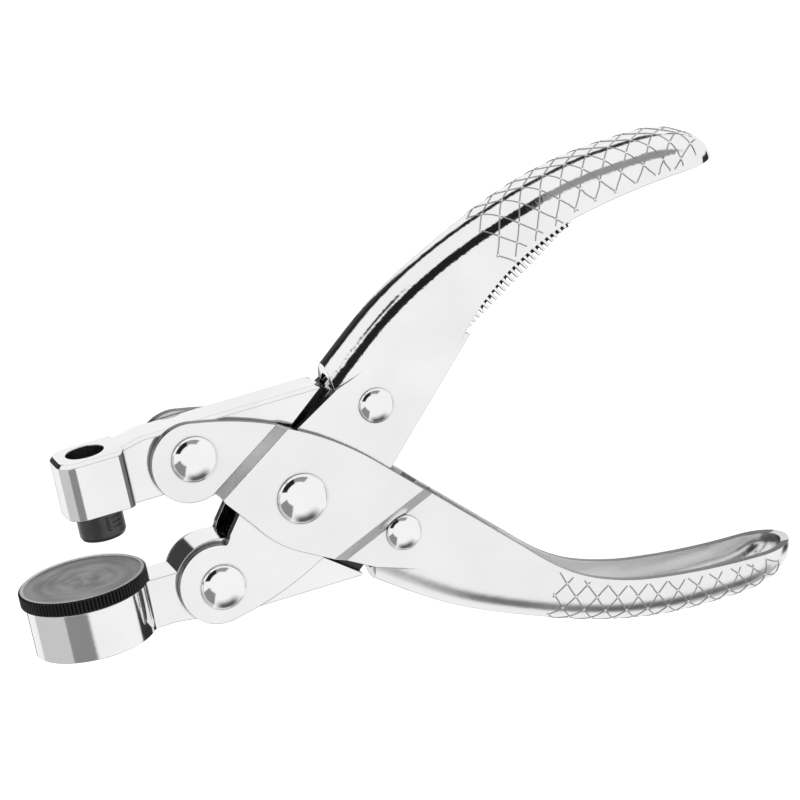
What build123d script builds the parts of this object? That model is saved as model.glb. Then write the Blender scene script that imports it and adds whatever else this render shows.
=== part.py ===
"""Parallel-action hole punch pliers with a tubular punch and a turning anvil disc.

The tool lies on its side. X runs along the jaws, with the handles towards +X. Y runs
from the lower jaw to the upper jaw. Z is the direction of the rivets, up from the
surface that the tool lies on. The origin is at the bottom centre of the bounding box.
All lengths are in millimetres, and the jaws are shown fully open.

Two handles cross at the main rivet. Each carries an ear in front of the main rivet, on
which its own jaw turns, and a rivet behind it, which slides in a slot of the other jaw.
The four outer rivets stand on one circle about the main rivet, so the jaws stay parallel.
"""

import os
from math import atan2, cos, degrees, hypot, pi, radians, sin

from build123d import *

# ---- driving dimensions -----------------------------------------------------------
RIVET_X = 24.0  # outer rivets, along the jaws, from the main rivet
RIVET_Y = 17.1  # outer rivets, across the jaws, with the jaws open
HANDLE_SWING = 21.2  # angle that the handles close through, in degrees

SHEET = 2.2  # thickness of the pressed steel
PLATE_GAP = 0.1  # running gap beside each plate
JAW_HALF = 5.3  # half the thickness of the jaw bars
PLATE_IN = JAW_HALF + PLATE_GAP  # inner face of the plates, from the middle plane
PLATE_OUT = PLATE_IN + SHEET
RAISED_IN = PLATE_OUT + PLATE_GAP  # the lower handle's middle steps over the upper's
RAISED_OUT = RAISED_IN + SHEET

EAR_R = 10.2
EAR_SHIFT = 0.8  # the ear's centre lies a little outside its rivet
GRIP_HALF = 9.9  # half the width of the grips
SPINE_FILLET = 7.2
UPPER_TILT = 1.5  # the upper grip stands this many degrees further out
CHANNEL_START = 15.2
FRONT_WASTE = 8.0  # cut off the front of the pressed channel
TIP_X, TIP_Y = 125.3, 50.6

SPINE = ((CHANNEL_START, 28.6), (35, 42.4), (55, 51.4), (80, 59), (108, 61))
EDGE_BEND = (51.5, 27.9)  # where the straight inner edge of a handle starts to bow
EDGE_REAR = (84.5, 47.8)  # where it runs out to the tip
TOOTH_COUNT, TOOTH_WIDTH, TOOTH_DEPTH = 25, 0.75, 2.9

RAMP_LEFT = ((-2.5, 19.2), 33.3, 2.2)  # a point on the foot, direction, and width
RAMP_RIGHT = ((8.5, -19.7), 22.5, 3.2)

MAIN_SHANK_R, MAIN_HEAD_R, MAIN_HEAD_H = 3.5, 6.45, 2.4
EAR_SHANK_R, EAR_HEAD_R, EAR_HEAD_H = 3.2, 5.8, 2.2
SLOT_SHANK_R, SLOT_HEAD_R, SLOT_HEAD_H = 2.6, 4.5, 1.8
HEAD_RIM = 0.35  # upright rim of a rivet's domed head
RIVET_PLAY = 0.05  # radial play where a piece turns or slides on a rivet
SLEEVE_R = 4.4

JAW_BACK = 25.7  # outer edge of both jaws, from the main rivet
UPPER_EDGE, LOWER_EDGE = 9.7, 10.8  # inner edges of the jaws
TAIL_X, TAIL_R = 29.5, 6.1  # round rear end of each jaw
TAIL_STEP_X, TAIL_STEP_Y = 15.5, 22.4  # the jaw's back drops here, under the spine
TAIL_BEVEL = 2.2  # clears the rounded inside of the spine
RECESS = ((0.5, 16.1), (14.3, 27.1), (15.8, 25.2), (2.0, 14.2))  # slanting, over each jaw
RECESS_DEPTH = 2.8
SLOT_END_PLAY = 0.6

BLOCK_FRONT, BLOCK_REAR = -57.3, -40.5
BLOCK_HALF, BLOCK_TOP, BLOCK_BOTTOM = 8.0, 24.5, 9.8
BLOCK_CORNER_R = 5.0
SHOULDER_R = 2.0  # rear corners of the block
PUNCH_X, PUNCH_R, PUNCH_BORE_R = -48.9, 5.85, 4.9
PUNCH_TIP, PUNCH_SEAT = 2.5, 21.5
PUNCH_BEVEL = 0.45
TOP_BEVEL = 0.9  # along the back of the upper jaw

ANVIL_X, ANVIL_R = -56.9, 16.3
ANVIL_TOP, ANVIL_BOTTOM = -6.85, -10.6
PAD_R, PAD_SEAT, PAD_TOP = 14.9, -9.0, -7.1
CUP_R, CUP_TOP, CUP_BOTTOM = 15.2, -10.7, -23.3
NECK_FILLET = 3.2
KNUCKLE_R = 11.9
HUB_R, HUB_BOTTOM, TURN_PLAY = 5.0, -15.0, 0.1
SCREW_R, SCREW_HEAD_R, SCREW_HEAD_H = 2.0, 4.2, 2.4
SCREW_END = -10.0
WELL_R, WELL_TOP = 5.6, -18.0  # counterbore for the anvil's screw
WASHER_R, WASHER_THICK, WASHER_PLAY = 4.8, 0.7, 0.05
SCREW_SLOT_WIDTH, SCREW_SLOT_DEPTH = 1.0, 1.1
WHEEL_BEVEL = 0.3
PAD_DISH = 0.25

WIRE_R, COIL_R, COIL_TURNS, COIL_PITCH = 0.45, 5.0, 4, 1.0
LEG_LENGTH = 27.0
UPPER_LEG_ANGLE, LOWER_LEG_ANGLE = 10.5, 11.0

# ---- where the tool lies ----------------------------------------------------------
PIVOT_X = -(TIP_X + ANVIL_X - ANVIL_R) / 2
PIVOT_Y = -1.4
PIVOT_Z = ANVIL_R  # the anvil disc is the widest piece, and touches the surface
REACH = 200.0  # more than the size of the tool

# ---- how the jaws travel ----------------------------------------------------------
RIVET_CIRCLE = hypot(RIVET_X, RIVET_Y)
CLOSED_ANGLE = atan2(RIVET_Y, RIVET_X) - radians(HANDLE_SWING / 2)
SLIDE = 2 * (RIVET_CIRCLE * cos(CLOSED_ANGLE) - RIVET_X)  # travel of a slot rivet
SINK = RIVET_Y - RIVET_CIRCLE * sin(CLOSED_ANGLE)  # each jaw's travel


def place(x, y, z=0.0):
    """A point given from the main rivet."""
    return Vector(PIVOT_X + x, PIVOT_Y + y, PIVOT_Z + z)


def level(z=0.0, tilt=0.0):
    """A plane at height z over the middle plane, with its origin on the main rivet."""
    along = (cos(radians(tilt)), sin(radians(tilt)), 0)
    return Plane(origin=place(0, 0, z), x_dir=along, z_dir=(0, 0, 1))


def across(y=0.0, tilt=0.0):
    """A plane square to Y at distance y from the main rivet: its sketches are X by Z."""
    along = Vector(cos(radians(tilt)), sin(radians(tilt)), 0)
    up = Vector(-sin(radians(tilt)), cos(radians(tilt)), 0)
    return Plane(origin=place(0, 0) + up * y, x_dir=along, z_dir=-up)


def drill(radius, x, y):
    """Cuts a hole along Z right through the piece being built."""
    with BuildSketch(level(-REACH / 2)) as hole:
        with Locations((x, y)):
            Circle(radius)
    extrude(hole.sketch, amount=REACH, mode=Mode.SUBTRACT)


def write(builder, name):
    """Labels the finished piece and writes its STEP file."""
    builder.part.label = name
    export_step(builder.part, f"parts/{name}.step")


os.makedirs("parts", exist_ok=True)


# ---- handles ----------------------------------------------------------------------
def plate_outline(side):
    """One pivot plate: an ear, a bowed middle and the root of the grip on one side."""
    ear = (-RIVET_X - EAR_SHIFT, -side * (RIVET_Y - EAR_SHIFT))
    bend = (EDGE_BEND[0], side * EDGE_BEND[1])
    with Locations(ear):
        Circle(EAR_R)
    with BuildLine() as outline:
        bow = ThreePointArc((-22.5, -side * 26.2), (0.4, -side * 18.5), (20, -side * 4.2))
        edge = Line(bow @ 1, bend)
        root = Polyline(edge @ 1, (44, side * 34), (CHANNEL_START, side * 24))
        belly = Line(root @ 1, (-1.8, side * 14.2))
        hip = ThreePointArc(belly @ 1, (-8.9, side * 9), (-13, side * 3.8))
        flank = Line(hip @ 1, (-19.4, -side * 4.6))
        heel = ThreePointArc(flank @ 1, (-21, -side * 7), (-23.8, -side * 7.9))
        Polyline(heel @ 1, (-31, -side * 8.1), ear, bow @ 0)
    make_face(outline.edges())


def spine_points(side, inset):
    """Points along the spine of a grip, from the pivot to the tip, pulled in by the inset."""
    points = [(x, side * y) for x, y in SPINE]
    spine = Spline(*points, tangents=((0.8, side * 0.6), (1, 0)), mode=Mode.PRIVATE)
    shares = [i / 5 for i in range(6)]
    inward = [(spine % share).rotate(Axis.Z, -side * 90) for share in shares]
    return [spine @ share + normal * inset for share, normal in zip(shares, inward)]


def blank_outline(side, inset):
    """The side of a grip before its inner edge and its front are trimmed."""
    with BuildLine() as outline:
        spine = Spline(*spine_points(side, inset), tangents=((0.8, side * 0.6), (1, 0)))
        end_x = TIP_X - inset
        end = TangentArc(spine @ 1, (end_x, side * (TIP_Y + 3.4)), tangent=(1, 0))
        lead = Line(spine @ 0, spine @ 0 - (spine % 0) * FRONT_WASTE)
        Polyline(end @ 1, (end_x, side * 30), (0, side * 5), lead @ 1)
    make_face(outline.edges())


def trim_outline(side, toothed):
    """What is kept of the side of a grip: all behind its front and its inner edge."""
    bend = (EDGE_BEND[0], side * EDGE_BEND[1])
    rear = (EDGE_REAR[0], side * EDGE_REAR[1])
    tip = (TIP_X + 1, side * TIP_Y)
    with BuildLine() as outline:
        rim = Spline(tip, (106, side * 50.4), rear)
        if toothed:
            Line(rear, bend)
        else:
            Spline(
                rear,
                (76, side * 45.6),
                (66.7, side * 41.5),
                (57.5, side * 34.1),
                bend,
                tangents=(rim % 1, (-0.713, -side * 0.701)),
            )
        Polyline(
            bend,
            (36, side * 12.2),
            (CHANNEL_START, side * 19.6),
            (CHANNEL_START, side * 90),
            (TIP_X + 1, side * 90),
            tip,
        )
    make_face(outline.edges())


def grip_plan(inset):
    """The grip seen square to its spine: parallel at the pivot, then flared and round."""
    front, nose_x = -FRONT_WASTE, TIP_X - GRIP_HALF
    narrow, wide = PLATE_OUT - inset, GRIP_HALF - inset
    with BuildLine() as outline:
        straight = Line((front, narrow), (46, narrow))
        middle = (64, narrow + (wide - narrow) / 2)
        flare = Spline(straight @ 1, middle, (82, wide), tangents=((1, 0), (1, 0)))
        flank = Line(flare @ 1, (nose_x, wide))
        nose = (nose_x + wide * cos(pi / 4), wide * sin(pi / 4))
        ThreePointArc(flank @ 1, nose, (nose_x + wide, 0))
        mirror(about=Plane.XZ)
        Line((front, narrow), (front, -narrow))
    make_face(outline.edges())


def outer_edges(part, side):
    """The curved edges around the spine of a grip, where its walls fold off."""
    spine = part.faces().filter_by(lambda f: f.normal_at(f.center()).Y * side > 0.3)
    edges = ShapeList(e for f in spine for e in f.edges())
    alone = edges.filter_by(lambda e: sum(e.is_same(other) for other in edges) == 1)
    return alone.filter_by(GeomType.LINE, reverse=True)


def grip_solid(side, tilt, inset):
    """A solid grip, pulled in all round by the inset."""
    with BuildPart() as grip:
        with BuildSketch(level(-REACH / 2, tilt)):
            blank_outline(side, inset)
        extrude(amount=REACH)
        with BuildSketch(across(-REACH / 2, tilt)):
            grip_plan(inset)
        extrude(amount=-REACH, mode=Mode.INTERSECT)
        fillet(outer_edges(grip.part, side), SPINE_FILLET - inset)
    return grip.part


def channel(side, tilt, toothed):
    """The grip: a pressed channel, open towards the other handle."""
    with BuildPart() as grip:
        add(grip_solid(side, tilt, 0))
        add(grip_solid(side, tilt, SHEET), mode=Mode.SUBTRACT)
        with BuildSketch(level(-REACH / 2, tilt)):
            trim_outline(side, toothed)
        extrude(amount=REACH, mode=Mode.INTERSECT)
    return grip.part


def cut_teeth(side, tilt):
    """Notches along the inner edge, deepest in the middle of the row."""
    run = (EDGE_REAR[0] - EDGE_BEND[0], EDGE_REAR[1] - EDGE_BEND[1])
    slope = side * degrees(atan2(run[1], run[0]))
    with BuildSketch(level(-REACH / 2, tilt)) as notches:
        for i in range(TOOTH_COUNT):
            share = (i + 0.5) / TOOTH_COUNT
            depth = TOOTH_DEPTH * 4 * share * (1 - share)
            middle = (EDGE_BEND[0] + run[0] * share, side * (EDGE_BEND[1] + run[1] * share))
            with Locations(Location(middle, (0, 0, slope))):
                Rectangle(TOOTH_WIDTH, 2 * depth)
    extrude(notches.sketch, amount=REACH, mode=Mode.SUBTRACT)


def cut_step(foot, direction, width):
    """Bends a plate from its low level, before the foot, up to its raised level."""
    angle = radians(direction)
    normal = Vector(sin(angle), -cos(angle), 0)
    if Vector(*foot).dot(normal) > 0:
        normal = -normal
    origin = level().from_local_coords(Vector(*foot))
    section = Plane(origin=origin, x_dir=normal, z_dir=normal.cross(Vector(0, 0, 1)))
    past_pivot = abs(Vector(*foot).dot(normal)) + 7.0
    with BuildSketch(section.offset(-REACH / 2)) as cuts:
        with BuildLine():
            Polyline(
                (-REACH, PLATE_OUT),
                (0, PLATE_OUT),
                (width, RAISED_OUT),
                (width, 2 * RAISED_OUT),
                (-REACH, 2 * RAISED_OUT),
                close=True,
            )
        make_face()
        with BuildLine():
            Polyline(
                (0, PLATE_IN),
                (width, RAISED_IN),
                (past_pivot, RAISED_IN),
                (past_pivot, 0),
                (0, 0),
                close=True,
            )
        make_face()
    extrude(cuts.sketch, amount=REACH, mode=Mode.SUBTRACT)


with BuildPart() as lower_handle:
    with BuildSketch(level(PLATE_IN)):
        plate_outline(-1)
    extrude(amount=RAISED_OUT - PLATE_IN)
    cut_step(*RAMP_LEFT)
    cut_step(*RAMP_RIGHT)
    with BuildSketch(level(PLATE_OUT)):
        with Locations((RIVET_X, -RIVET_Y)):
            Circle(SLOT_HEAD_R + PLATE_GAP)
    extrude(amount=REACH, mode=Mode.SUBTRACT)
    mirror(about=level())
    add(channel(-1, 0, toothed=False))
    drill(MAIN_SHANK_R, 0, 0)
    drill(EAR_SHANK_R, -RIVET_X, RIVET_Y)
    drill(SLOT_SHANK_R, RIVET_X, -RIVET_Y)
write(lower_handle, "lower_handle")

with BuildPart() as upper_handle:
    with BuildSketch(level(PLATE_IN)):
        plate_outline(1)
    extrude(amount=SHEET)
    mirror(about=level())
    add(channel(1, UPPER_TILT, toothed=True))
    cut_teeth(1, UPPER_TILT)
    drill(MAIN_SHANK_R + RIVET_PLAY, 0, 0)
    drill(EAR_SHANK_R, -RIVET_X, -RIVET_Y)
    drill(SLOT_SHANK_R, RIVET_X, RIVET_Y)
write(upper_handle, "upper_handle")


# ---- jaws -------------------------------------------------------------------------
def cut_slot(y):
    """The slot that a handle's rivet slides in as the jaws close."""
    travel = SLIDE + 2 * SLOT_END_PLAY
    with BuildSketch(level(-REACH / 2)) as slot:
        with Locations((RIVET_X + SLIDE / 2, y)):
            SlotCenterToCenter(travel, 2 * (SLOT_SHANK_R + RIVET_PLAY))
    extrude(slot.sketch, amount=REACH, mode=Mode.SUBTRACT)


def bevel_tail(side):
    """Bevels the long edges of a jaw's tail where it lies under the spine."""
    back, low = side * (TAIL_STEP_Y + 1), side * (TAIL_STEP_Y - TAIL_BEVEL)
    section = Plane(origin=place(TAIL_STEP_X - 1, 0), x_dir=(0, 1, 0), z_dir=(1, 0, 0))
    with BuildSketch(section) as corners:
        for edge in (JAW_HALF, -JAW_HALF):
            with BuildLine() as corner:
                inner = edge * (1 - (TAIL_BEVEL + 1) / JAW_HALF)
                Polyline((low, edge), (back, edge), (back, inner), close=True)
            make_face(corner.edges())
    extrude(corners.sketch, amount=REACH, mode=Mode.SUBTRACT)


def cut_recess(side):
    """A slanting recess across both faces, along the front edge of the handle's plates."""
    for face in (1, -1):
        with BuildSketch(level(face * JAW_HALF)) as recess:
            with BuildLine() as outline:
                Polyline(*[(x, side * y) for x, y in RECESS], close=True)
            make_face(outline.edges())
        extrude(recess.sketch, amount=-face * RECESS_DEPTH, mode=Mode.SUBTRACT)


with BuildPart() as upper_jaw:
    with BuildSketch(level(-REACH / 2)):
        with BuildLine():
            back = Polyline(
                (BLOCK_FRONT, BLOCK_BOTTOM),
                (BLOCK_FRONT, BLOCK_TOP),
                (BLOCK_REAR, BLOCK_TOP),
                (-35, JAW_BACK),
                (10.5, JAW_BACK),
                (TAIL_STEP_X, TAIL_STEP_Y),
                (TAIL_X, TAIL_STEP_Y),
            )
            tail = ThreePointArc(
                back @ 1, (TAIL_X + TAIL_R, RIVET_Y), (TAIL_X, RIVET_Y - TAIL_R)
            )
            Polyline(tail @ 1, (20, UPPER_EDGE), (-35, UPPER_EDGE), back @ 0)
        make_face()
    extrude(amount=REACH)
    with BuildSketch(across(-REACH / 2)) as plan:
        with Locations(((BLOCK_FRONT + BLOCK_REAR) / 2, 0)):
            Rectangle(BLOCK_REAR - BLOCK_FRONT, 2 * BLOCK_HALF)
        fillet(plan.vertices().group_by(Axis.X)[0], BLOCK_CORNER_R)
        Rectangle(-2 * BLOCK_REAR + 2 * NECK_FILLET, 2 * JAW_HALF)
    extrude(amount=-REACH, mode=Mode.INTERSECT)
    backs = upper_jaw.faces().filter_by(lambda f: f.normal_at(f.center()).Y > 0.9)
    rims = backs.filter_by(lambda f: f.center().X < PIVOT_X + TAIL_STEP_X).edges()
    chamfer(rims.filter_by(Axis.Z, reverse=True), TOP_BEVEL)
    rear = upper_jaw.edges().filter_by(Axis.Y).group_by(lambda e: e.center().Z)
    fillet([e for e in (*rear[0], *rear[-1]) if e.center().X < PIVOT_X], SHOULDER_R)
    with BuildSketch(across(BLOCK_BOTTOM - 1)):
        with Locations((PUNCH_X, 0)):
            Circle(PUNCH_R)
    extrude(amount=-(PUNCH_SEAT - BLOCK_BOTTOM + 1), mode=Mode.SUBTRACT)
    with BuildSketch(across(PUNCH_SEAT)):
        with Locations((PUNCH_X, 0)):
            Circle(PUNCH_BORE_R)
    extrude(amount=-REACH, mode=Mode.SUBTRACT)
    drill(EAR_SHANK_R + RIVET_PLAY, -RIVET_X, RIVET_Y)
    drill(COIL_R + WIRE_R + 0.7, SLIDE / 2, SINK)
    bevel_tail(1)
    cut_recess(1)
    cut_slot(RIVET_Y)
write(upper_jaw, "upper_jaw")

def bore(radius, top, bottom):
    """Cuts a round hole along Y, under the anvil disc."""
    with BuildSketch(across(top)) as hole:
        with Locations((ANVIL_X, 0)):
            Circle(radius)
    extrude(hole.sketch, amount=top - bottom, mode=Mode.SUBTRACT)


with BuildPart() as lower_jaw:
    with BuildSketch(level(-REACH / 2)):
        with Locations((-RIVET_X, -RIVET_Y)):
            Circle(KNUCKLE_R)
        with Locations((-RIVET_X, -RIVET_Y - KNUCKLE_R)):
            Rectangle(3 * KNUCKLE_R, 2 * KNUCKLE_R, mode=Mode.SUBTRACT)
        with BuildLine():
            floor = Polyline(
                (ANVIL_X - CUP_R, CUP_TOP),
                (ANVIL_X - CUP_R, CUP_BOTTOM),
                (-37, CUP_BOTTOM),
                (-18, -JAW_BACK),
                (11.5, -JAW_BACK),
                (TAIL_STEP_X, -TAIL_STEP_Y),
                (TAIL_X, -TAIL_STEP_Y),
            )
            tail = ThreePointArc(
                floor @ 1, (TAIL_X + TAIL_R, -RIVET_Y), (TAIL_X, TAIL_R - RIVET_Y)
            )
            Polyline(tail @ 1, (20, -LOWER_EDGE), (-40, -LOWER_EDGE), (-41, CUP_TOP), floor @ 0)
        make_face()
    extrude(amount=REACH)
    with BuildSketch(across(-REACH / 2)) as plan:
        with Locations((ANVIL_X, 0)):
            Circle(CUP_R)
        with Locations((0, 0)):
            Rectangle(-2 * ANVIL_X, 2 * JAW_HALF)
        fillet(plan.vertices().group_by(Axis.X)[0], NECK_FILLET)
    extrude(amount=-REACH, mode=Mode.INTERSECT)
    bore(HUB_R + TURN_PLAY, CUP_TOP, HUB_BOTTOM - TURN_PLAY)
    bore(SCREW_R + TURN_PLAY, HUB_BOTTOM, WELL_TOP)
    bore(WELL_R, WELL_TOP, CUP_BOTTOM)
    drill(EAR_SHANK_R + RIVET_PLAY, -RIVET_X, -RIVET_Y)
    bevel_tail(-1)
    cut_recess(-1)
    cut_slot(-RIVET_Y)
write(lower_jaw, "lower_jaw")


# ---- punch and anvil --------------------------------------------------------------
def turn(x, *outline):
    """Revolves an outline of (radius, y) points about an axis along Y at distance x."""
    axis = Axis(place(x, 0), (0, 1, 0))
    with BuildSketch(Plane(origin=place(x, 0), z_dir=(0, 0, 1))) as half:
        with BuildLine() as profile:
            Polyline(*outline, close=True)
        make_face(profile.edges())
    revolve(half.sketch, axis=axis)


with BuildPart() as punch_tube:
    turn(
        PUNCH_X,
        (PUNCH_BORE_R, PUNCH_SEAT),
        (PUNCH_R, PUNCH_SEAT),
        (PUNCH_R, PUNCH_TIP + 2 * PUNCH_BEVEL),
        (PUNCH_R - PUNCH_BEVEL, PUNCH_TIP),
        (PUNCH_BORE_R, PUNCH_TIP),
    )
write(punch_tube, "punch_tube")

with BuildPart() as anvil_wheel:
    turn(
        ANVIL_X,
        (SCREW_R, HUB_BOTTOM),
        (HUB_R, HUB_BOTTOM),
        (HUB_R, ANVIL_BOTTOM),
        (ANVIL_R - WHEEL_BEVEL, ANVIL_BOTTOM),
        (ANVIL_R, ANVIL_BOTTOM + WHEEL_BEVEL),
        (ANVIL_R, ANVIL_TOP - WHEEL_BEVEL),
        (ANVIL_R - WHEEL_BEVEL, ANVIL_TOP),
        (PAD_R, ANVIL_TOP),
        (PAD_R, PAD_SEAT),
        (0, PAD_SEAT),
        (0, SCREW_END),
        (SCREW_R, SCREW_END),
    )
write(anvil_wheel, "anvil_wheel")

with BuildPart() as anvil_pad:
    with BuildSketch(Plane(origin=place(ANVIL_X, 0), z_dir=(0, 0, 1))):
        with BuildLine():
            dish = Spline(
                (0, PAD_TOP - PAD_DISH), (PAD_R, PAD_TOP), tangents=((1, 0), (1, 0.05))
            )
            Polyline(dish @ 1, (PAD_R, PAD_SEAT), (0, PAD_SEAT), dish @ 0)
        make_face()
    revolve(axis=Axis(place(ANVIL_X, 0), (0, 1, 0)))
write(anvil_pad, "anvil_pad")

with BuildPart() as anvil_screw:
    head_top = WELL_TOP - WASHER_PLAY - WASHER_THICK
    turn(
        ANVIL_X,
        (0, SCREW_END),
        (SCREW_R, SCREW_END),
        (SCREW_R, head_top),
        (SCREW_HEAD_R, head_top),
        (SCREW_HEAD_R, head_top - SCREW_HEAD_H),
        (0, head_top - SCREW_HEAD_H),
    )
    with BuildSketch(across(head_top - SCREW_HEAD_H)):
        with Locations((ANVIL_X, 0)):
            Rectangle(2 * SCREW_HEAD_R, SCREW_SLOT_WIDTH)
    extrude(amount=-SCREW_SLOT_DEPTH, mode=Mode.SUBTRACT)
write(anvil_screw, "anvil_screw")

with BuildPart() as anvil_washer:
    with BuildSketch(across(WELL_TOP - WASHER_PLAY)):
        with Locations((ANVIL_X, 0)):
            Circle(WASHER_R)
            Circle(SCREW_R, mode=Mode.SUBTRACT)
    extrude(amount=WASHER_THICK)
write(anvil_washer, "anvil_washer")


# ---- rivets, sleeve and spring ----------------------------------------------------
def rivet(name, x, y, seat, shank_r, head_r, head_h):
    """Writes a rivet along Z at (x, y), with a domed head over each seat."""
    with BuildPart() as piece:
        with BuildSketch(Plane(origin=place(x, y), x_dir=(1, 0, 0), z_dir=(0, -1, 0))):
            with BuildLine():
                neck = Polyline(
                    (0, 0), (shank_r, 0), (shank_r, seat), (head_r, seat), (head_r, seat + HEAD_RIM)
                )
                top = seat + head_h
                shoulder = seat + HEAD_RIM + 0.4 * (head_h - HEAD_RIM)
                dome = Bezier(neck @ 1, (head_r, shoulder), (0.62 * head_r, top), (0, top))
                Line(dome @ 1, neck @ 0)
            make_face()
        revolve(axis=Axis(place(x, y), (0, 0, 1)))
        mirror(about=level())
    write(piece, name)


MAIN_RIVET = (MAIN_SHANK_R, MAIN_HEAD_R, MAIN_HEAD_H)
EAR_RIVET = (EAR_SHANK_R, EAR_HEAD_R, EAR_HEAD_H)
SLOT_RIVET = (SLOT_SHANK_R, SLOT_HEAD_R, SLOT_HEAD_H)
rivet("main_pivot_rivet", 0, 0, RAISED_OUT, *MAIN_RIVET)
rivet("upper_jaw_rivet", -RIVET_X, RIVET_Y, PLATE_OUT, *EAR_RIVET)
rivet("lower_jaw_rivet", -RIVET_X, -RIVET_Y, PLATE_OUT, *EAR_RIVET)
rivet("upper_slot_rivet", RIVET_X, RIVET_Y, PLATE_OUT, *SLOT_RIVET)
rivet("lower_slot_rivet", RIVET_X, -RIVET_Y, PLATE_OUT, *SLOT_RIVET)

with BuildPart() as pivot_sleeve:
    with BuildSketch(level(-JAW_HALF)):
        Circle(SLEEVE_R)
        Circle(MAIN_SHANK_R + RIVET_PLAY, mode=Mode.SUBTRACT)
    extrude(amount=2 * JAW_HALF)
write(pivot_sleeve, "pivot_sleeve")

with BuildPart() as return_spring:
    turns = COIL_TURNS + (180 - UPPER_LEG_ANGLE - LOWER_LEG_ANGLE) / 360
    height = COIL_PITCH * turns
    start_angle = 90 + UPPER_LEG_ANGLE
    with BuildLine() as coil:
        helix = Helix(COIL_PITCH, height, COIL_R, mode=Mode.PRIVATE)
        add(Location(place(0, 0, -height / 2)) * helix.rotate(Axis.Z, start_angle))
    with BuildSketch(Plane(origin=coil.line @ 0, z_dir=coil.line % 0)) as wire:
        Circle(WIRE_R)
    sweep(path=coil.line, is_frenet=True)
    extrude(wire.sketch, amount=-LEG_LENGTH)
    with BuildSketch(Plane(origin=coil.line @ 1, z_dir=coil.line % 1)) as wire:
        Circle(WIRE_R)
    extrude(wire.sketch, amount=LEG_LENGTH)
write(return_spring, "return_spring")
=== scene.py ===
"""The looks of the parallel-action hole punch pliers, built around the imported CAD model."""

from bisect import bisect_left
from math import cos, pi, radians, sin

import bpy
from mathutils import Matrix, Vector
from mathutils.bvhtree import BVHTree


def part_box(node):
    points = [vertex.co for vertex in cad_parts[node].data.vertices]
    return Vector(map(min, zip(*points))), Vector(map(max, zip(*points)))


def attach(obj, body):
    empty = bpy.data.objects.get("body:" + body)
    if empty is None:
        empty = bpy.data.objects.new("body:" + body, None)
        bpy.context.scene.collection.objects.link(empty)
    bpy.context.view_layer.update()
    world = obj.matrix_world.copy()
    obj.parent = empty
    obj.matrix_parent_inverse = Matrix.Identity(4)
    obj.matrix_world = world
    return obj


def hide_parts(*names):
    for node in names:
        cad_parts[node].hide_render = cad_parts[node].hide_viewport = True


MM = 0.001

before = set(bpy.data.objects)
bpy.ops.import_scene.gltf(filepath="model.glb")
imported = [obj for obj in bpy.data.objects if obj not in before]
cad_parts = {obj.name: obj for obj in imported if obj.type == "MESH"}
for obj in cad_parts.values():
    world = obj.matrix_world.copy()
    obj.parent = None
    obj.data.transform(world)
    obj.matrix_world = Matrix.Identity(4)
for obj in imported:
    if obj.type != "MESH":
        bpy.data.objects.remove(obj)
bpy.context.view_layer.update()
scene = bpy.context.scene
scene.view_settings.view_transform = "Standard"

# ---- places, from the CAD nodes --------------------------------------------------
RIVET_LOW, RIVET_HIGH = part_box("main_pivot_rivet")
PIVOT = (RIVET_LOW + RIVET_HIGH) / 2


# ---- camera, floor and light ----------------------------------------------------
LENS, SENSOR = 225, 36
EYE_FROM_PIVOT = Vector((-0.2547, 0.3987, 1.1575))
VIEW_FORWARD, VIEW_UP = (0.229, -0.307, -0.924), (0.284, 0.921, -0.268)
FLOOR_HALF = 3.0


def look(eye, forward, up):
    """The world matrix of a camera or lamp at eye that faces forward."""
    back = -Vector(forward).normalized()
    right = Vector(up).cross(back).normalized()
    true_up = back.cross(right)
    turn = Matrix((right, true_up, back)).transposed().to_4x4()
    return Matrix.Translation(eye) @ turn


def add_camera():
    camera = bpy.data.objects.new("camera", bpy.data.cameras.new("camera"))
    scene.collection.objects.link(camera)
    camera.data.sensor_width = SENSOR
    camera.data.lens = LENS
    camera.data.clip_start, camera.data.clip_end = 0.05, 20
    camera.matrix_world = look(PIVOT + EYE_FROM_PIVOT, VIEW_FORWARD, VIEW_UP)
    scene.camera = camera


def add_floor():
    mesh = bpy.data.meshes.new("floor")
    signs = ((-1, -1), (1, -1), (1, 1), (-1, 1))
    corners = [(x * FLOOR_HALF, y * FLOOR_HALF, 0) for x, y in signs]
    mesh.from_pydata(corners, [], [(0, 1, 2, 3)])
    floor = bpy.data.objects.new("floor", mesh)
    scene.collection.objects.link(floor)
    material = bpy.data.materials.new("floor")
    material.use_nodes = True
    shader = material.node_tree.nodes["Principled BSDF"]
    shader.inputs["Base Color"].default_value = (0.93, 0.93, 0.93, 1)
    shader.inputs["Roughness"].default_value = 0.8
    shader.inputs["Emission Color"].default_value = (1, 1, 1, 1)
    shader.inputs["Emission Strength"].default_value = 0.75
    mesh.materials.append(material)
    floor.visible_glossy = False


def smooth_window(tree, value, low, high, soft):
    """1 where value lies between low and high, with soft edges."""
    parts = []
    for edge, sign in ((low, 1), (high, -1)):
        step = tree.nodes.new("ShaderNodeMapRange")
        step.interpolation_type = "SMOOTHSTEP"
        step.inputs["From Min"].default_value = edge - sign * soft
        step.inputs["From Max"].default_value = edge + sign * soft
        tree.links.new(value, step.inputs["Value"])
        parts.append(step.outputs["Result"])
    return math_node(tree, "MULTIPLY", *parts)


def math_node(tree, operation, *values):
    """A math node's output; each value is a socket or a number."""
    node = tree.nodes.new("ShaderNodeMath")
    node.operation = operation
    for socket, value in zip(node.inputs, values):
        if isinstance(value, (int, float)):
            socket.default_value = value
        else:
            tree.links.new(value, socket)
    return node.outputs[0]


def weighted_sum(tree, first, first_weight, second, second_weight):
    a = math_node(tree, "MULTIPLY", first, first_weight)
    b = math_node(tree, "MULTIPLY", second, second_weight)
    return math_node(tree, "ADD", a, b)


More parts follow.
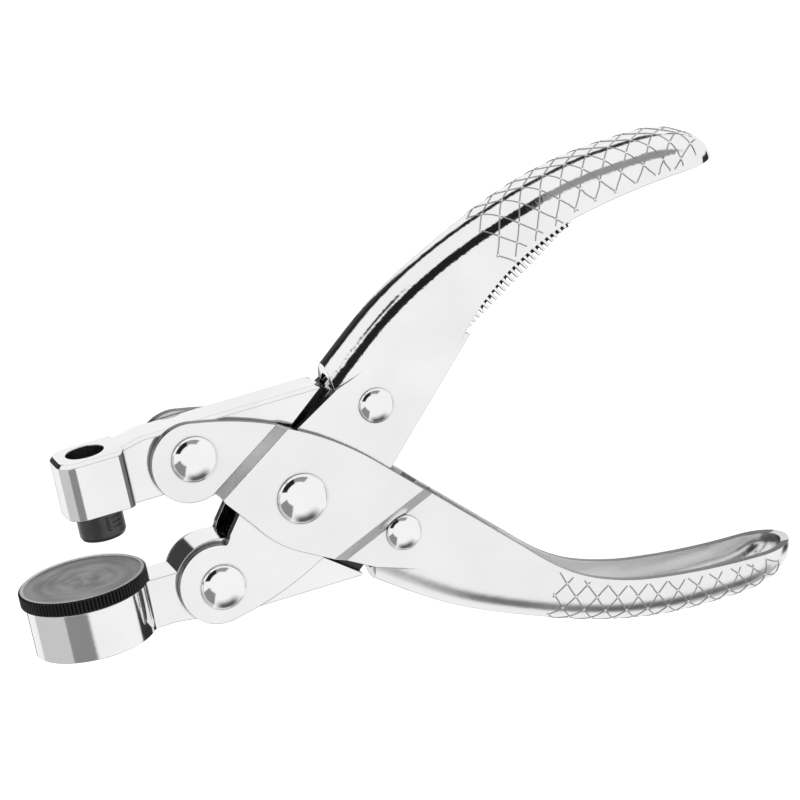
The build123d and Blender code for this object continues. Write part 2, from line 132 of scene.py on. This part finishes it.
def add_sky():
    """A white light tent with grey and black cards in it, each a box of compass and height."""
    world = bpy.data.worlds.new("tent")
    scene.world = world
    world.use_nodes = True
    tree = world.node_tree
    place = tree.nodes.new("ShaderNodeTexCoord")
    split = tree.nodes.new("ShaderNodeSeparateXYZ")
    tree.links.new(place.outputs["Generated"], split.inputs["Vector"])
    x, y, z = split.outputs
    height = math_node(tree, "DEGREES", math_node(tree, "ARCSINE", z))
    shade = TENT_WHITE
    for middle, half, low, high, card_shade, soft in CARDS:
        along = weighted_sum(tree, x, cos(radians(middle)), y, sin(radians(middle)))
        aside = weighted_sum(tree, y, cos(radians(middle)), x, -sin(radians(middle)))
        compass = math_node(tree, "DEGREES", math_node(tree, "ARCTAN2", aside, along))
        inside = math_node(
            tree,
            "MULTIPLY",
            smooth_window(tree, compass, -half, half, soft),
            smooth_window(tree, height, low, high, soft),
        )
        change = math_node(tree, "SUBTRACT", card_shade, shade)
        shade = math_node(tree, "ADD", shade, math_node(tree, "MULTIPLY", inside, change))
    background = tree.nodes["Background"]
    tree.links.new(shade, background.inputs["Color"])


TENT_WHITE = 0.95
# compass bearing of the middle from +X towards +Y, half width, lowest and highest, in
# degrees; then how bright, and how soft its edges are
CARDS = [
    (222, 26, 27, 66, 0.26, 2),  # grey side wall, in the cup and the block's corner
    (205, 42, -42, 27, 0.6, 2),  # paler below it
    (-18, 14, -34, 4, 0.03, 2),  # black card beside the cup
    (148, 42, -90, -54, 0.05, 4),  # dark bench, in the sheet's cut edges
    (-70, 40, -90, -54, 0.05, 4),
    (-80, 22, 6, 42, 0.11, 12),  # grey band along the lower handle
    (-62, 14, -9, 6, 0.4, 2),  # in the right ramp
    (110, 55, -60, -37, 0.02, 4),  # far stripe of the upper handle
    (122, 6, 15.5, 25.5, 0.04, 1),  # in the left ramp
    (124, 33, 32, 66, 0.015, 2),  # near stripe of the upper handle
    (68, 25, 34, 62, 0.3, 3),  # its greyer end
]


# ---- materials -------------------------------------------------------------------
EDGE_ROUND = 0.32 * MM  # the sheet's edges are broken; this is also how wide the painted shade along them is
CORNER_REACH = 1.1 * MM  # painted shade reaches this far out of a corner
# painted shade inside a hollow reaches this far
HOLLOW_REACH = 14 * MM
EDGE_CORNER_SHADE = 0.12  # how bright the painted shade on edges and in corners is, against the open faces


def map_range(tree, value, from_low, from_high, to_low, to_high):
    node = tree.nodes.new("ShaderNodeMapRange")
    ends = {"From Min": from_low, "From Max": from_high, "To Min": to_low, "To Max": to_high}
    for label, number in ends.items():
        node.inputs[label].default_value = number
    tree.links.new(value, node.inputs["Value"])
    return node.outputs["Result"]


def shelter(tree, reach):
    """How open the place is, 1 in the open and 0 deep in a corner."""
    node = tree.nodes.new("ShaderNodeAmbientOcclusion")
    node.samples = 6
    node.inputs["Distance"].default_value = reach
    return node.outputs["AO"]


def noise(tree, place, scale, detail):
    node = tree.nodes.new("ShaderNodeTexNoise")
    node.inputs["Scale"].default_value = scale
    node.inputs["Detail"].default_value = detail
    tree.links.new(place, node.inputs["Vector"])
    return node.outputs["Fac"]


def roughen(tree, shader, height, depth, normal=None):
    """Bumps the surface by depth, in mm."""
    bump = tree.nodes.new("ShaderNodeBump")
    bump.inputs["Strength"].default_value = 1.0
    bump.inputs["Distance"].default_value = depth * MM
    tree.links.new(height, bump.inputs["Height"])
    if normal:
        tree.links.new(normal, bump.inputs["Normal"])
    tree.links.new(bump.outputs["Normal"], shader.inputs["Normal"])


def new_material(name, metallic):
    """A material, its tree, its shader and the place on the object."""
    material = bpy.data.materials.new(name)
    material.use_nodes = True
    tree = material.node_tree
    shader = tree.nodes["Principled BSDF"]
    shader.inputs["Metallic"].default_value = metallic
    return material, tree, shader, tree.nodes.new("ShaderNodeTexCoord").outputs["Object"]


def plated(name, shade, roughness, ripple, inside=0.0):
    """Bright plating: cloudy polish, fine ripple, painted shade along the edges and in the
    corners, and, when inside is given, painted shade deep in a hollow.
    """
    material, tree, shader, place = new_material(name, 1.0)
    cloud = noise(tree, place, 60, 3)
    tint = map_range(tree, cloud, 0.3, 0.7, shade - 0.035, shade + 0.03)

    soft_edges = tree.nodes.new("ShaderNodeBevel")
    soft_edges.samples = 8
    soft_edges.inputs["Radius"].default_value = EDGE_ROUND
    surface = tree.nodes.new("ShaderNodeNewGeometry")
    turned = tree.nodes.new("ShaderNodeVectorMath")
    turned.operation = "DOT_PRODUCT"
    tree.links.new(soft_edges.outputs["Normal"], turned.inputs[0])
    tree.links.new(surface.outputs["Normal"], turned.inputs[1])
    # painted shade along the edges: the base colour darkens where the rounded edge turns away
    edges = map_range(tree, turned.outputs["Value"], 0.72, 0.97, EDGE_CORNER_SHADE, 1.0)
    # painted shade in corners and creases, from ambient occlusion
    corners = map_range(tree, shelter(tree, CORNER_REACH), 0.25, 0.75, EDGE_CORNER_SHADE, 1.0)
    shaded = math_node(tree, "MULTIPLY", tint, math_node(tree, "MULTIPLY", edges, corners))
    # painted shade deep in a hollow, darker by inside at most
    if inside:
        painted_hollow_shade = map_range(tree, shelter(tree, HOLLOW_REACH), 0.2, 0.8, 1 - inside, 1.0)
        shaded = math_node(tree, "MULTIPLY", shaded, painted_hollow_shade)
    tree.links.new(shaded, shader.inputs["Base Color"])
    gloss = map_range(tree, cloud, 0.3, 0.7, roughness * 0.8, roughness * 1.3)
    tree.links.new(gloss, shader.inputs["Roughness"])
    swell = noise(tree, place, 800, 2)
    roughen(tree, shader, swell, ripple, soft_edges.outputs["Normal"])
    return material


def dark_metal(name, shade, roughness, grain):
    """Blackened steel with a fine grain."""
    material, tree, shader, place = new_material(name, 0.6)
    specks = noise(tree, place, 900, 4)
    tint = map_range(tree, specks, 0, 1, shade * 0.7, shade * 1.3)
    tree.links.new(tint, shader.inputs["Base Color"])
    shader.inputs["Roughness"].default_value = roughness
    roughen(tree, shader, specks, grain)
    return material


def worn_metal(name, shade, centre):
    """Turned and worn: soft smears that run round the centre."""
    material, tree, shader, place = new_material(name, 0.7)
    shader.inputs["Roughness"].default_value = 0.4
    shift = tree.nodes.new("ShaderNodeVectorMath")
    shift.operation = "SUBTRACT"
    shift.inputs[1].default_value = centre
    tree.links.new(place, shift.inputs[0])
    split = tree.nodes.new("ShaderNodeSeparateXYZ")
    tree.links.new(shift.outputs["Vector"], split.inputs["Vector"])
    x, _, z = split.outputs
    squares = [math_node(tree, "MULTIPLY", side, side) for side in (x, z)]
    radius = math_node(tree, "SQRT", math_node(tree, "ADD", *squares))
    turn = math_node(tree, "ARCTAN2", z, x)
    round_and_out = tree.nodes.new("ShaderNodeCombineXYZ")
    tree.links.new(math_node(tree, "MULTIPLY", radius, 420.0), round_and_out.inputs[0])
    tree.links.new(math_node(tree, "SINE", turn), round_and_out.inputs[1])
    tree.links.new(math_node(tree, "COSINE", turn), round_and_out.inputs[2])
    smear = noise(tree, round_and_out.outputs["Vector"], 0.8, 4)
    tone = map_range(tree, smear, 0.3, 0.72, shade * 0.6, shade * 1.5)
    tree.links.new(tone, shader.inputs["Base Color"])
    roughen(tree, shader, smear, 0.02)
    return material


def finish_nodes(material, *names):
    for name in names:
        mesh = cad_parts[name].data
        mesh.materials.clear()
        mesh.materials.append(material)


sheet_plating = plated("sheet_plating", 0.91, 0.08, 0.03)
# the lower handle also gets painted shade deep in its channel
satin_plating = plated("satin_plating", 0.9, 0.2, 0.012, 0.45)
jaw_plating = plated("jaw_plating", 0.92, 0.09, 0.008)
rivet_plating = plated("rivet_plating", 0.94, 0.07, 0.008)
# the lattice ridges get a darker plating: painted shade in place of their dark reflections
ridge_shade_plating = plated("ridge_shade_plating", 0.4, 0.2, 0.008)
# darker plating for cut edges and the block's rear corners: painted shade
cut_edge_shade = plated("cut_edge_shade", 0.2, 0.3, 0.02)
# black plating for recesses and tooth notches: painted shade
recess_shade_black = plated("recess_shade_black", 0.05, 0.35, 0.01)
spring_wire = plated("spring_wire", 0.75, 0.2, 0.004)
black_steel = dark_metal("black_steel", 0.012, 0.35, 0.01)
punch_steel = dark_metal("punch_steel", 0.07, 0.3, 0.005)
PAD_LOW, PAD_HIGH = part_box("anvil_pad")
pad_metal = worn_metal("pad_metal", 0.27, (PAD_LOW + PAD_HIGH) / 2)
lip_metal = dark_metal("lip_metal", 0.5, 0.35, 0.004)
mark_black = dark_metal("mark_black", 0.004, 0.6, 0.002)

finish_nodes(sheet_plating, "upper_handle")
finish_nodes(satin_plating, "lower_handle")
finish_nodes(jaw_plating, "upper_jaw", "lower_jaw")
finish_nodes(
    rivet_plating,
    "main_pivot_rivet",
    "upper_jaw_rivet",
    "lower_jaw_rivet",
    "upper_slot_rivet",
    "lower_slot_rivet",
    "pivot_sleeve",
    "anvil_screw",
)
finish_nodes(spring_wire, "return_spring", "anvil_washer")
finish_nodes(punch_steel, "punch_tube")
finish_nodes(black_steel, "anvil_wheel")
finish_nodes(pad_metal, "anvil_pad")


# ---- painted shade on cut edges and in recesses ------------------------------------
CUT_SHADE, RECESS_SHADE = 1, 2  # material slots of the painted shade on cut edges and in recesses
HEAD_END, TAIL_END = -45 * MM, 20 * MM  # the jaws' cut edges and recesses lie between
SHOULDER = (-69.5 * MM, -66 * MM)  # where the block's rear corners are rounded


def polygons_of(name):
    """Each polygon of a CAD node, with its centre, its normal and its height off the middle."""
    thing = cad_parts[name]
    turn = thing.matrix_world.to_3x3()
    for polygon in thing.data.polygons:
        centre = thing.matrix_world @ polygon.center
        normal = (turn @ polygon.normal).normalized()
        yield polygon, centre, normal, abs(centre.z - PIVOT.z)


def darken_cuts(name, is_jaw):
    """The sheared edges of the sheet and the jaws' recesses get darker platings: painted shade.
    """
    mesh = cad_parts[name].data
    mesh.materials.append(cut_edge_shade)
    mesh.materials.append(recess_shade_black)
    for polygon, centre, normal, height in polygons_of(name):
        if is_jaw and not HEAD_END < centre.x < TAIL_END:
            continue
        if abs(normal.z) < 0.25 and height > 4 * MM:
            polygon.material_index = CUT_SHADE
        if is_jaw and abs(normal.z) > 0.9 and 2 * MM < height < 4.5 * MM:
            polygon.material_index = RECESS_SHADE


def darken_shoulder():
    """The rounded rear corners of the punch block, out of the light, get the darker cut-edge
    plating: painted shade.
    """
    for polygon, centre, normal, height in polygons_of("upper_jaw"):
        if SHOULDER[0] < centre.x < SHOULDER[1] and height > 5.4 * MM:
            if normal.x > 0.12 and abs(normal.y) < 0.5:
                polygon.material_index = CUT_SHADE


darken_cuts("upper_handle", False)
darken_cuts("lower_handle", False)
darken_cuts("upper_jaw", True)
darken_cuts("lower_jaw", True)
darken_shoulder()


# ---- embossed lattice on the grips -----------------------------------------------
LATTICE_STEP = 0.35 * MM
RIDGE_HALF, RIDGE_HEIGHT = 0.21 * MM, 0.18 * MM
KNOT_R, KNOT_HEIGHT = 0.42 * MM, 0.3 * MM  # the small bosses where ridges cross
ROUND_R = 7.2 * MM  # rounding of the spine
FOLD = ROUND_R * 1.25 + 4 * MM  # from the spine's crest to where the flat wall starts
EDGE_MARGIN = 1.3 * MM  # the ridges stop this far from the walls' inner edges
AROUND = 26 * MM  # as far as the ridges are tried, round from the crest
OUTSIDE = 30 * MM  # rays start this far out
SPINE_POINTS = 240


def wall_ray(spot, near):
    """Where a ray to the near or far wall starts, and its direction."""
    return spot + Vector((0, 0, near * OUTSIDE)), Vector((0, 0, -near))


def mesh_object(name, vertices, faces, material, smooth=True):
    mesh = bpy.data.meshes.new(name)
    mesh.from_pydata([tuple(v) for v in vertices], [], faces)
    mesh.materials.append(material)
    if smooth:
        mesh.shade_smooth()
    thing = bpy.data.objects.new(name, mesh)
    scene.collection.objects.link(thing)
    return thing


class Grip:
    """The outside of a grip: a point for each distance along the spine and around it."""

    def __init__(self, node, side, start_x, end_x):
        depsgraph = bpy.context.evaluated_depsgraph_get()
        self.tree = BVHTree.FromObject(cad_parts[node], depsgraph)
        self.side = side
        self.spine = []
        for i in range(SPINE_POINTS + 1):
            x = start_x + (end_x - start_x) * i / SPINE_POINTS
            hit = self.cast(Vector((x, PIVOT.y + side * 0.1, PIVOT.z)), Vector((0, -side, 0)))
            self.spine.append(hit[0])
        self.lengths = [0.0]
        for a, b in zip(self.spine, self.spine[1:]):
            self.lengths.append(self.lengths[-1] + (b - a).length)

    def cast(self, origin, direction):
        point, normal, _, _ = self.tree.ray_cast(origin, direction, 0.15)
        return (point, normal) if point else None

    def top(self, u):
        """A point of the spine and its outward normal, at a distance along it."""
        i = max(1, min(len(self.spine) - 2, bisect_left(self.lengths, u)))
        run = self.lengths[i] - self.lengths[i - 1]
        share = (u - self.lengths[i - 1]) / run
        point = self.spine[i - 1].lerp(self.spine[i], share)
        along = (self.spine[i + 1] - self.spine[i - 1]).normalized()
        return point, Vector((-along.y, along.x, 0)) * self.side

    def at(self, u, v):
        """The point and outward normal at u along and v around, or None off the grip."""
        if not 0 <= u <= self.lengths[-1]:
            return None
        crest, out = self.top(u)
        centre = crest - out * ROUND_R
        near = 1 if v >= 0 else -1
        if abs(v) <= FOLD:
            angle = abs(v) / FOLD * pi / 2
            away = out * cos(angle) + Vector((0, 0, near * sin(angle)))
            return self.cast(centre + away * OUTSIDE, -away)
        down = centre - out * (abs(v) - FOLD)
        hit = self.cast(*wall_ray(down, near))
        edge = self.cast(*wall_ray(down - out * EDGE_MARGIN, near))
        on_wall = hit and edge and min(hit[1].z * near, edge[1].z * near) >= 0.5
        return hit if on_wall else None


def ridge(rows, vertices, faces):
    """Adds a low rounded ridge along a list of (point, normal)."""
    profile = [(-1, -0.25), (-0.55, 0.7), (0, 1), (0.55, 0.7), (1, -0.25)]
    width, first = len(profile), len(vertices)
    for i, (point, normal) in enumerate(rows):
        ahead = rows[min(i + 1, len(rows) - 1)][0] - rows[max(i - 1, 0)][0]
        aside = ahead.cross(normal).normalized()
        ends = min(1, 0.35 + i / 3, 0.35 + (len(rows) - 1 - i) / 3)
        for across, height in profile:
            sideways = aside * across * RIDGE_HALF
            vertices.append(point + sideways + normal * height * RIDGE_HEIGHT * ends)
    for i in range(len(rows) - 1):
        for j in range(width - 1):
            k = first + i * width + j
            faces.append((k, k + 1, k + width + 1, k + width))


def knot(point, normal, vertices, faces):
    """Adds a small round boss."""
    aside = normal.orthogonal().normalized()
    ahead = normal.cross(aside)
    first = len(vertices)
    for share, height in ((1, -0.3), (0.8, 0.55), (0.42, 0.9)):
        for i in range(8):
            turn = pi / 4 * i
            out = aside * cos(turn) + ahead * sin(turn)
            vertices.append(point + out * KNOT_R * share + normal * KNOT_HEIGHT * height)
    vertices.append(point + normal * KNOT_HEIGHT)
    for ring in range(2):
        for i in range(8):
            a, b = first + 8 * ring + i, first + 8 * ring + (i + 1) % 8
            faces.append((a, b, b + 8, a + 8))
    for i in range(8):
        faces.append((first + 16 + i, first + 16 + (i + 1) % 8, first + 24))


def add_lattice(name, grip, start, end, along, across, body):
    """Two families of slanting ridges that stop short of the walls' inner edges."""
    vertices, faces = [], []
    slope = along / across
    spread = int(AROUND * slope / along) + 1
    steps = int(2 * AROUND / LATTICE_STEP)
    for lean in (1, -1):
        for number in range(-spread, int((end - start) / along) + spread + 1):
            rows = []
            for i in range(steps + 1):
                v = -AROUND + 2 * AROUND * i / steps
                u = start + number * along + lean * v * slope
                hit = grip.at(u, v) if start - 0.5 * MM <= u <= end else None
                if hit:
                    rows.append(hit)
                if not hit or i == steps:
                    if len(rows) > 6:
                        ridge(rows, vertices, faces)
                    rows = []
    lattice = mesh_object(name + "_lattice", vertices, faces, ridge_shade_plating)
    vertices, faces = [], []
    for k in range(int(2 * (end - start) / along) + 1):
        for m in range(-8, 9):
            if (k + m) % 2 == 0:
                hit = grip.at(start + k * along / 2, m * across / 2)
                if hit:
                    knot(*hit, vertices, faces)
    knots = mesh_object(name + "_knots", vertices, faces, rivet_plating)
    for piece in (lattice, knots):
        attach(piece, body)


upper_grip = Grip("upper_handle", 1, 5 * MM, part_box("upper_handle")[1].x - 2.5 * MM)
lower_grip = Grip("lower_handle", -1, 5 * MM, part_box("lower_handle")[1].x - 2.5 * MM)
add_lattice("upper_grip", upper_grip, 31 * MM, 94 * MM, 6.1 * MM, 7.7 * MM, "upper_handle")
add_lattice("lower_grip", lower_grip, 28 * MM, 95 * MM, 5.8 * MM, 6.6 * MM, "lower_handle")


# ---- painted shade: black strips in the tooth notches -----------------------------
FLOOR_STEP = 0.4 * MM
SHALLOWEST, DEEPEST = 8 * MM, 30 * MM  # where a wall's inner edge is looked for
FLOOR_SECTION = ((-0.3, 1.6), (1.3, 1.6), (1.3, 0.8), (-0.3, 0.8))  # inward, and below the face


def add_tooth_notch_shade(grip, start, end):
    """A black strip in each wall of the upper grip, half way down the notches: painted shade
    for the notches' insides.
    """
    vertices, faces = [], []
    for near in (1, -1):
        rows = []
        for i in range(int((end - start) / FLOOR_STEP) + 1):
            crest, out = grip.top(start + i * FLOOR_STEP)
            depth, skin = SHALLOWEST, 0
            while depth < DEEPEST:
                hit = grip.cast(*wall_ray(crest - out * depth, near))
                if not hit or hit[1].z * near < 0.5 or (hit[0].z - PIVOT.z) * near < 4 * MM:
                    break
                depth, skin = depth + 0.15 * MM, hit[0].z
            rows.append((crest, out, depth, skin))
        first = len(vertices)
        for k, (crest, out, _, skin) in enumerate(rows):
            floor = min(row[2] for row in rows[max(0, k - 3) : k + 4])
            for inner, sink in FLOOR_SECTION:
                spot = crest - out * (floor + inner * MM)
                vertices.append((spot.x, spot.y, skin - near * sink * MM))
        for k in range(first, first + 4 * (len(rows) - 1), 4):
            for j in range(4):
                faces.append((k + j, k + (j + 1) % 4, k + (j + 1) % 4 + 4, k + j + 4))
        faces.append((first, first + 3, first + 2, first + 1))
        last = first + 4 * (len(rows) - 1)
        faces.append((last, last + 1, last + 2, last + 3))
    floors = mesh_object("tooth_notch_shade", vertices, faces, recess_shade_black, smooth=False)
    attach(floors, "upper_handle")


add_tooth_notch_shade(upper_grip, 19 * MM, 52 * MM)


# ---- knurled anvil wheel ---------------------------------------------------------
KNURLS = 104
KNURL_STEPS = 6
KNURL_DEPTH = 0.45 * MM
RIM_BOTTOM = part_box("anvil_wheel")[1].y - 3.75 * MM
SCREW_HOLE_R, HUB_R = 2 * MM, 5 * MM
WHEEL_BEVEL = 0.35 * MM
LIP_START = 8  # the first strip of the profile that is the paler lip


def add_wheel():
    """The anvil wheel with a knurled rim, its grooves along the axis."""
    low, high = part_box("anvil_wheel")
    pad_low, pad_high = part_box("anvil_pad")
    centre = (low + high) / 2
    outer = (high.x - low.x) / 2
    seat = (pad_high.x - pad_low.x) / 2
    profile = [
        (SCREW_HOLE_R, low.y, 0),
        (HUB_R, low.y, 0),
        (HUB_R, RIM_BOTTOM, 0),
        (outer - WHEEL_BEVEL - KNURL_DEPTH, RIM_BOTTOM, 0),
        (outer, RIM_BOTTOM + WHEEL_BEVEL, 1),
        (outer, RIM_BOTTOM + 2 * WHEEL_BEVEL, 1),
        (outer, high.y - 2 * WHEEL_BEVEL, 1),
        (outer, high.y - WHEEL_BEVEL, 1),
        (outer - KNURL_DEPTH - 0.1 * MM, high.y, 0),
        (seat + 0.15 * MM, high.y, 0),
        (seat, high.y - 0.15 * MM, 0),
        (seat, pad_low.y, 0),
    ]
    columns = KNURLS * KNURL_STEPS
    vertices = []
    for j in range(columns):
        angle = 2 * pi * j / columns
        wave = abs(sin(pi * j / KNURL_STEPS)) ** 0.6
        for radius, y, knurled in profile:
            r = radius - knurled * KNURL_DEPTH * (1 - wave)
            vertices.append((centre.x + r * cos(angle), y, centre.z + r * sin(angle)))
    n = len(profile)
    faces, kinds = [], []
    for j in range(columns):
        a, b = j * n, (j + 1) % columns * n
        for i in range(n - 1):
            faces.append((a + i, a + i + 1, b + i + 1, b + i))
            kinds.append(int(i >= LIP_START))
    wheel = mesh_object("knurled_wheel", vertices, faces, black_steel, smooth=False)
    wheel.data.materials.append(lip_metal)
    wheel.data.polygons.foreach_set("material_index", kinds)
    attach(wheel, "anvil")
    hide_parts("anvil_wheel")


add_wheel()


# ---- scale marks on the punch ------------------------------------------------------
MARK_STEPS = 6
MARK_LIFTS = (-0.1 * MM, 0.02 * MM)  # of a mark's inner and outer faces, off the tube
TICKS, TICK_BEARING, TICK_LENGTH, TICK_PITCH = 6, 84, 1.0, 0.62
LINES, LINE_BEARING, LINE_LENGTH, LINE_PITCH = 3, 58, 3.0, 1.25


def add_punch_marks():
    """Generic depth marks round the punch: a ladder of ticks and three longer lines."""
    low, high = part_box("punch_tube")
    centre = (low + high) / 2
    radius = (high.x - low.x) / 2
    vertices, faces = [], []

    def strip(bearing, length, y, height):
        """A mark round the tube; all but the bearing are in mm, y from the tube's end."""
        first = len(vertices)
        for i in range(MARK_STEPS + 1):
            angle = radians(bearing) + (i / MARK_STEPS - 0.5) * length * MM / radius
            for r in (radius + lift for lift in MARK_LIFTS):
                x, z = centre.x + r * cos(angle), centre.z + r * sin(angle)
                for side in (-0.5, 0.5):
                    vertices.append((x, low.y + y * MM + side * height * MM, z))
        for k in range(first, first + 4 * MARK_STEPS, 4):
            for p, q in ((0, 1), (1, 3), (3, 2), (2, 0)):
                faces.append((k + p, k + q, k + 4 + q, k + 4 + p))
        faces.append((first, first + 2, first + 3, first + 1))
        end = first + 4 * MARK_STEPS
        faces.append((end, end + 1, end + 3, end + 2))

    for i in range(TICKS):
        strip(TICK_BEARING, TICK_LENGTH, 2.6 + TICK_PITCH * i, 0.26)
    for i in range(LINES):
        strip(LINE_BEARING, LINE_LENGTH, 3.0 + LINE_PITCH * i, 0.24)
    marks = mesh_object("punch_marks", vertices, faces, mark_black, smooth=False)
    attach(marks, "upper_jaw")


add_punch_marks()

add_camera()
add_floor()
add_sky()
